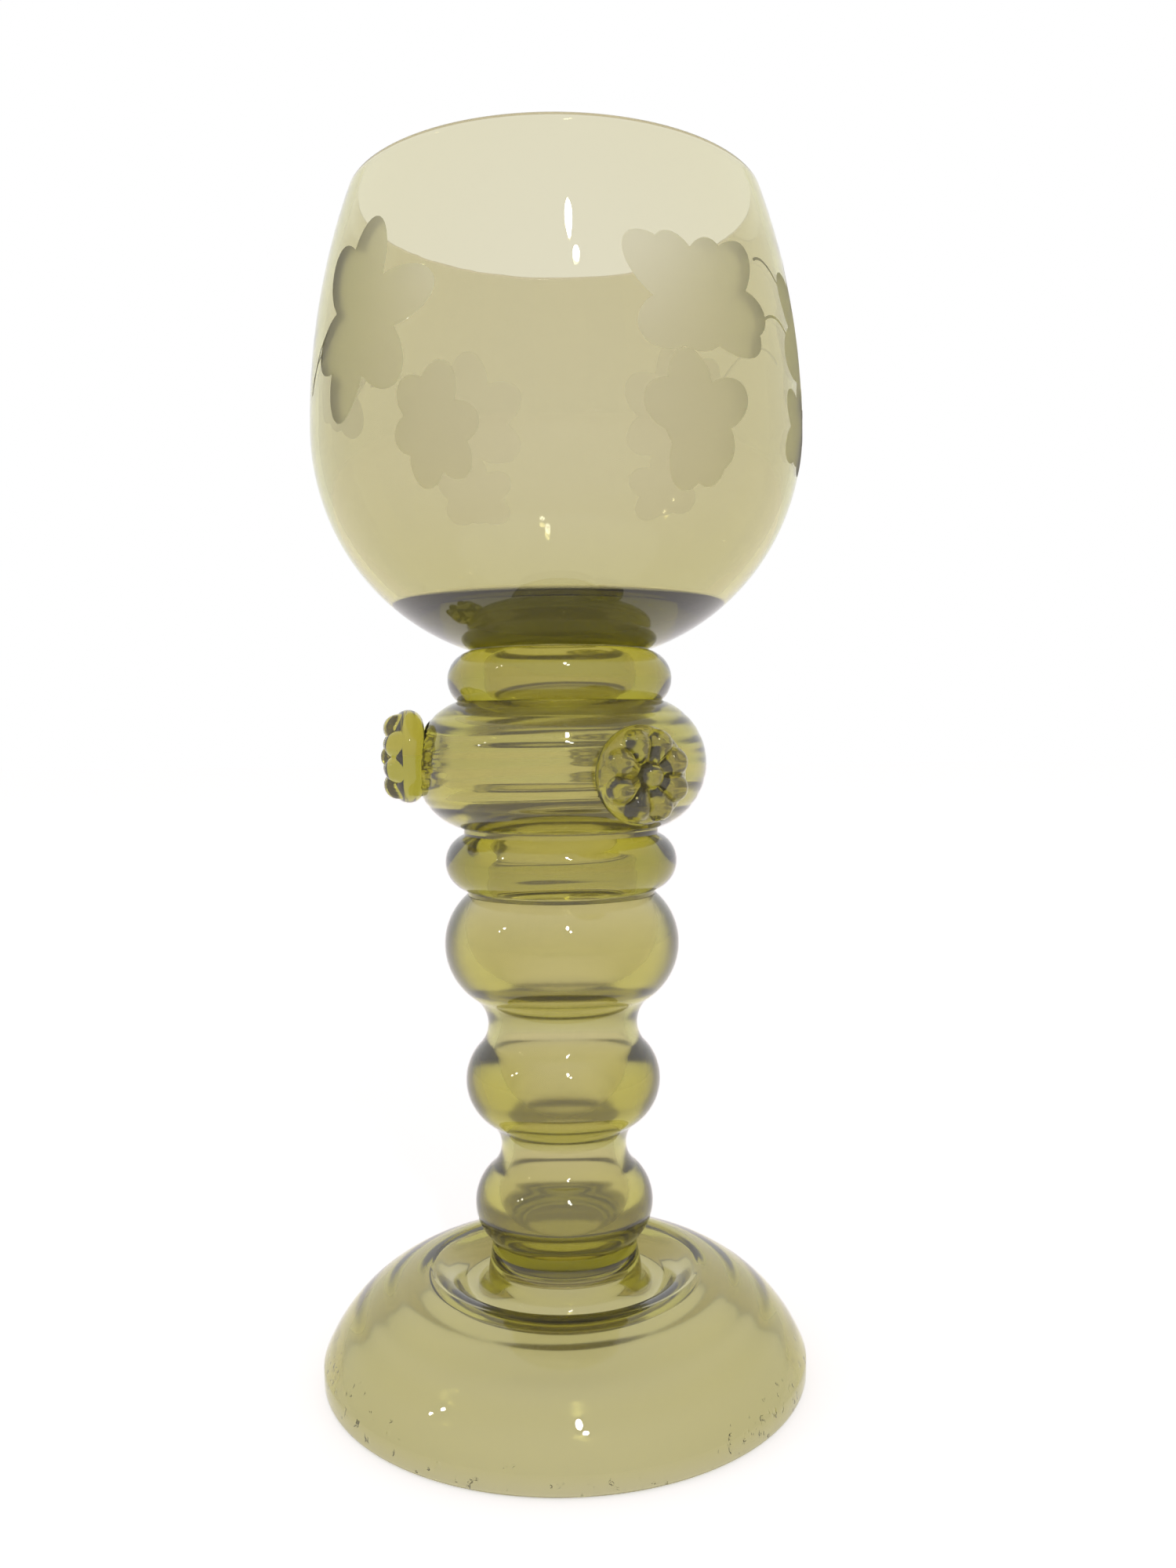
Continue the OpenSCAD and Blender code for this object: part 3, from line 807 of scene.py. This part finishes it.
KNOP_SOFT, BALUSTER_SOFT, FOOT_SOFT = 0.2, 0.25, 0.18
FOOT_SEAM = (FOOT_JOINT, 0, FOOT_JOINT_R)
BALUSTER_SEAM = (BALUSTER_JOINT, BORE_R, BALUSTER_JOINT_R)
LOWER_SEAM = (LOWER_JOINT, BORE_R, LOWER_JOINT_R)
UPPER_SEAM = (UPPER_JOINT, BORE_R, UPPER_JOINT_R)
BOWL_SEAM = (BOWL_JOINT, BORE_R, BOWL_JOINT_R)
upper_collar = lift(collar_outline(UPPER_BEAD, UPPER_JOINT_R, BOWL_JOINT_R, upper_h), UPPER_JOINT)
lower_collar = lift(collar_outline(LOWER_BEAD, BALUSTER_JOINT_R, LOWER_JOINT_R, lower_h), BALUSTER_JOINT)
prunted_knop = lift(knop_outline(), LOWER_JOINT)
baluster = lift(baluster_outline(), FOOT_JOINT)
spun_pieces = {
    "bowl": (lift(bowl_outline(), BOWL_JOINT), [BOWL_SEAM], 0.0, bowl_glass, "bowl_glass"),
    "upper_collar": (upper_collar, [UPPER_SEAM, BOWL_SEAM], KNOP_SOFT, stem_glass, "stem_glass"),
    "prunted_knop": (prunted_knop, [LOWER_SEAM, UPPER_SEAM], KNOP_SOFT, stem_glass, "stem_glass"),
    "lower_collar": (lower_collar, [BALUSTER_SEAM, LOWER_SEAM], KNOP_SOFT, stem_glass, "stem_glass"),
    "baluster": (baluster, [FOOT_SEAM, BALUSTER_SEAM], BALUSTER_SOFT, stem_glass, "stem_glass"),
    "foot": (foot_outline(), [FOOT_SEAM], FOOT_SOFT, foot_glass, "foot_glass")}
print("to spin:", list(spun_pieces))

# %% Spun pieces
def dress(piece, node, material):
    """Give a piece its glass, hide the CAD node it stands for, and hang it on the root body."""
    piece.data.materials.append(material)
    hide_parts(node)
    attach(piece, "root")


for node, (outline, seams, soft, material, slot) in spun_pieces.items():
    band = bowl_band(outline) if node == "bowl" else None
    body = spin_rings(outline, WAVES.get(node), band)
    spin_faces(body, outline, seams, band, soft)
    if band:
        engrave(body, outline, band)
    if node == "prunted_knop":
        fuse_seats(body)
    dress(make_piece("glass_" + node, body, own_normals=node == "bowl"), node, material)

# %% [markdown]
# The stamp gives a prunt a bead in the middle and eight petals round it. These could be separate balls,
# but pressed glass is one skin with melted corners. So the face is a height over a disc: the highest of
# the rounded disc, the bead and the petals, with a small blend where two of them meet.

# %% Face of a prunt
PETAL_R, PETAL_TIP_R, PETAL_RING_R, PETAL_RISE, BEAD_R, BEAD_RISE = 2.3, 0.7, 5.2, 1.7, 2.2, 2.2
MELT = 0.5
PETAL_STEPS = 8


def blend(a, b):
    """The higher of two heights, with the corner between them melted."""
    mix = max(0.0, MELT - abs(a - b)) / MELT
    return max(a, b) + mix * mix * MELT / 4


def ball(distance_squared, radius, mid):
    """Height of a ball over a point, or 0 beside it."""
    return mid + math.sqrt(radius * radius - distance_squared) if distance_squared < radius * radius else 0.0


def petal(along, across):
    """Height of one petal, which is a ball drawn from the rim in to the bead and narrowing."""
    best = 0.0
    for n in range(PETAL_STEPS + 1):
        t = n / PETAL_STEPS
        mid = PETAL_RING_R * t + BEAD_R * (1 - t)
        radius = PETAL_R * t + PETAL_TIP_R * (1 - t)
        height = (PRUNT_T + PETAL_RISE - PETAL_R) * t + (PRUNT_T - PETAL_TIP_R / 2) * (1 - t)
        best = max(best, ball((along - mid) ** 2 + across ** 2, radius, height))
    return best


def prunt_height(x, y):
    """Height of a prunt's face over its back."""
    rho, half = math.hypot(x, y), PRUNT_T / 2
    over = max(0.0, rho - PRUNT_R + half)
    face = half + math.sqrt(max(0.0, half ** 2 - over ** 2))
    face = blend(face, ball(rho * rho, BEAD_R, PRUNT_T + BEAD_RISE - BEAD_R))
    share = 2 * math.pi / PETALS
    turn = ((math.atan2(y, x) / share) % 1.0 - 0.5) * share
    return blend(face, petal(rho * math.cos(turn), rho * math.sin(turn)))


print("prunt height at the bead:", round(prunt_height(0, 0), 2))

# %% Mesh of a prunt
PRUNT_AROUND, PRUNT_OUT, PRUNT_SIDE = 96, 44, 12


def prunt_ring(verts, rho, height_at):
    """Add a ring of points at a radius, and give their numbers."""
    first = len(verts)
    for k in range(PRUNT_AROUND):
        c, s = toward(360 * k / PRUNT_AROUND)
        verts.append((rho * c, rho * s, height_at(rho * c, rho * s)))
    return list(range(first, first + PRUNT_AROUND))


def prunt_mesh():
    """Closed mesh of one prunt lying on its back, in millimetres."""
    verts = [(0, 0, 0), (0, 0, prunt_height(0, 0))]
    rings = []
    for n in range(1, PRUNT_OUT + 1):
        rings.append(prunt_ring(verts, PRUNT_R * toward(90 * n / PRUNT_OUT)[1], prunt_height))
    for n in range(1, PRUNT_SIDE + 1):
        c, s = toward(90 * n / PRUNT_SIDE)
        back = PRUNT_T / 2 * (1 - s)
        rings.append(prunt_ring(verts, PRUNT_R - PRUNT_T / 2 * (1 - c), lambda x, y: back))
    faces = []
    for k in range(PRUNT_AROUND):
        m = (k + 1) % PRUNT_AROUND
        faces.append((1, rings[0][k], rings[0][m]))
        faces += [(inner[k], outer[k], outer[m], inner[m]) for inner, outer in zip(rings, rings[1:])]
        faces.append((rings[-1][k], 0, rings[-1][m]))
    return verts, faces


prunt_verts, prunt_faces = prunt_mesh()
print("one prunt:", len(prunt_verts), "points")

# %% [markdown]
# Three prunts sit round the knop at nearly even turns, each a little high or low, as a hand sets them. One
# mesh serves for all. The part of it that is inside the knop is marked as a seam, so that the drop and the
# knop look like one body of glass.

# %% Prunts
PRUNT_SHARP = 60


def in_knop(x, y, z):
    """Whether a point in millimetres lies inside the knop's outer surface."""
    up, bend = z - KNOP_MID, MAIN_KNOP[2]
    return abs(up) < bend and math.hypot(x, y) < knop_centre(MAIN_KNOP)[0] + math.sqrt(bend * bend - up * up)


for node, (turn, rise) in PRUNTS.items():
    seat = (Matrix.Rotation(math.radians(turn), 4, "Z")
            @ Matrix.Translation((MAIN_KNOP[0] - PRUNT_SINK, 0, KNOP_MID + rise))
            @ Matrix.Rotation(math.radians(90), 4, "Y"))
    spots = [seat @ Vector(v) for v in prunt_verts]
    seam = []
    for face in prunt_faces:
        mid = sum((spots[v] for v in face), Vector()) / len(face)
        seam.append(1.0 if in_knop(*mid) else 0.0)
    body = {"verts": [MM * spot for spot in spots], "faces": prunt_faces}
    body.update(seam=seam, matt=[0.0] * len(seam))
    dress(make_piece("glass_" + node, body, sharp=PRUNT_SHARP), node, stem_glass)

# %% [markdown]
# The glass stands on white paper. Glass takes most of its looks from what is behind it, so the paper is
# a large matt sheet. It glows a little, so that it comes out white and keeps a faint shadow. The glow is
# stronger for the rays that show the paper, straight, in a gloss or through glass, than for those that
# only carry its light, so the white ground doesn't add light to the object.

# %% Paper floor
FLOOR_HALF, FLOOR_DROP = 4.0, 0.1 * MM
GLOW_AS_LIGHT, GLOW_SEEN = 0.33, 0.57
corners = [(x * FLOOR_HALF, y * FLOOR_HALF, -FLOOR_DROP) for x, y in ((-1, -1), (1, -1), (1, 1), (-1, 1))]
floor_mesh = bpy.data.meshes.new("floor")
floor_mesh.from_pydata(corners, [], [(0, 1, 2, 3)])
floor = bpy.data.objects.new("floor", floor_mesh)
bpy.context.scene.collection.objects.link(floor)


def shows_background(tree):
    """1 for the rays that show the background: from the camera, in a gloss, or through glass."""
    rays = add(tree, "ShaderNodeLightPath").outputs
    straight = add(tree, "ShaderNodeMath", {
        0: rays["Is Camera Ray"], 1: rays["Is Glossy Ray"]}, operation="MAXIMUM")
    through = add(tree, "ShaderNodeMath", {
        0: straight.outputs[0], 1: rays["Is Transmission Ray"]}, operation="MAXIMUM")
    return through.outputs[0]


def white_paper():
    """Matt white paper: even and soft, without a highlight."""
    material = bpy.data.materials.new("matt_white_paper")
    material.use_nodes = True
    tree = material.node_tree
    tree.nodes.clear()
    seen = shows_background(tree)
    glow = add(tree, "ShaderNodeMapRange", {"Value": seen, "To Min": GLOW_AS_LIGHT, "To Max": GLOW_SEEN})
    warm = add(tree, "ShaderNodeMix", {
        "Factor": seen, 6: linear("#FFF7F6"), 7: linear("#FFFFFF")}, data_type="RGBA")
    sheet = add(tree, "ShaderNodeBsdfDiffuse", {"Color": linear("#F2F2F2")})
    light = add(tree, "ShaderNodeEmission", {"Color": warm.outputs[2], "Strength": glow.outputs["Result"]})
    both = add(tree, "ShaderNodeAddShader", {0: sheet.outputs[0], 1: light.outputs[0]})
    add(tree, "ShaderNodeOutputMaterial", {"Surface": both.outputs[0]})
    return material


floor_mesh.materials.append(white_paper())
print("paper:", 2 * FLOOR_HALF, "m across")

# %% [markdown]
# The room lights the glass with a soft, slightly warm grey, brighter near the horizon than overhead.
# What is seen of it, straight, in a gloss or through the glass, is the plain white background, so the
# colour of the glass comes from its tint and the grey of painted shade on its skin.

# %% Room
WALL_TO, CEILING_FROM = 21.2, 22.4
ROOM_STOPS = ((-90, "#DAD3D1"), (WALL_TO, "#DAD3D1"), (CEILING_FROM, "#C7BCBC"), (90, "#B3ACAC"))
room = bpy.data.worlds.new("studio")
bpy.context.scene.world = room
room.use_nodes = True
tree = room.node_tree
tree.nodes.clear()
way = add(tree, "ShaderNodeTexCoord")
height = add(tree, "ShaderNodeSeparateXYZ", {"Vector": way.outputs["Generated"]})
share = add(tree, "ShaderNodeMapRange", {"Value": height.outputs["Z"], "From Min": -1.0, "From Max": 1.0})
ramp = add(tree, "ShaderNodeValToRGB", {"Fac": share.outputs["Result"]})
while len(ramp.color_ramp.elements) < len(ROOM_STOPS):
    ramp.color_ramp.elements.new(0.5)
for element, (elevation, colour) in zip(ramp.color_ramp.elements, ROOM_STOPS):
    element.position = 0.5 + 0.5 * toward(elevation)[1]
    element.color = linear(colour)
walls = add(tree, "ShaderNodeBackground", {"Color": ramp.outputs["Color"], "Strength": 1.0})
white = add(tree, "ShaderNodeBackground", {"Color": (1, 1, 1, 1), "Strength": 1.0})
seen = shows_background(tree)
sky = add(tree, "ShaderNodeMixShader", {0: seen, 1: walls.outputs[0], 2: white.outputs[0]})
add(tree, "ShaderNodeOutputWorld", {"Surface": sky.outputs[0]})
print("room stops:", [round(element.position, 3) for element in ramp.color_ramp.elements])

# %% [markdown]
# Small bright lamps draw the sharp highlights on knops, foot and rim. Their places follow from the
# highlights: two above and behind the camera, and two to the left. Each is an oval of a few degrees,
# and its power follows from its size, so that a larger lamp isn't brighter to look at.

# %% Lamps
LAMP_FAR = 1.3
LAMP_AIM = Vector((0, 0, 0.1))


def lamp(name, azimuth, elevation, wide, tall, radiance):
    """An oval lamp given by its direction and size in degrees and its brightness."""
    light = bpy.data.lights.new(name, "AREA")
    light.shape = "ELLIPSE"
    light.size = 2 * LAMP_FAR * math.tan(math.radians(wide / 2))
    light.size_y = 2 * LAMP_FAR * math.tan(math.radians(tall / 2))
    light.energy = radiance * math.pi * math.pi * light.size * light.size_y / 4
    level, up = toward(elevation)
    aside, front = toward(90 - azimuth)
    way = Vector((aside * level, -front * level, up))
    bulb = bpy.data.objects.new(name, light)
    turned = way.to_track_quat("Z", "Y").to_matrix().to_4x4()
    bulb.matrix_world = Matrix.Translation(LAMP_AIM + LAMP_FAR * way) @ turned
    bpy.context.scene.collection.objects.link(bulb)
    print(name, round(light.energy, 2), "W")


# Azimuth and elevation, width and height in degrees, and brightness.
lamp("lamp_high", 8, 45, 2.6, 7.5, 60)
lamp("lamp_low", 11, 38.5, 2.6, 3.0, 60)
lamp("lamp_left_high", -66, 34, 2.0, 2.6, 40)
lamp("lamp_left_low", -69, 28, 1.6, 2.2, 40)

# %% [markdown]
# The camera stands close, at the height of the upper stem, and looks slightly down with a little roll.
# That is why the rim is seen from below and the foot from above. Light crosses many walls of glass on
# its way, so the limits on bounces are raised, or the inner hollows would turn black.

# %% Camera
LENS, SENSOR = 29.7, 36
CAMERA_AT = (0.00475, -0.224, 0.11106)
PITCH, ROLL = 2.35, 0.5
BOUNCES = 32
CLIP_START = 0.01
scene = bpy.context.scene
lens = bpy.data.cameras.new("camera")
lens.lens = LENS
lens.sensor_width = SENSOR
lens.clip_start = CLIP_START
camera = bpy.data.objects.new("camera", lens)
scene.collection.objects.link(camera)
look = Matrix.Rotation(math.radians(90 - PITCH), 4, "X") @ Matrix.Rotation(math.radians(-ROLL), 4, "Z")
camera.matrix_world = Matrix.Translation(CAMERA_AT) @ look
scene.camera = camera
scene.view_settings.view_transform = "Standard"
scene.cycles.max_bounces = BOUNCES
scene.cycles.transmission_bounces = BOUNCES
scene.cycles.transparent_max_bounces = BOUNCES
print("camera at", CAMERA_AT)
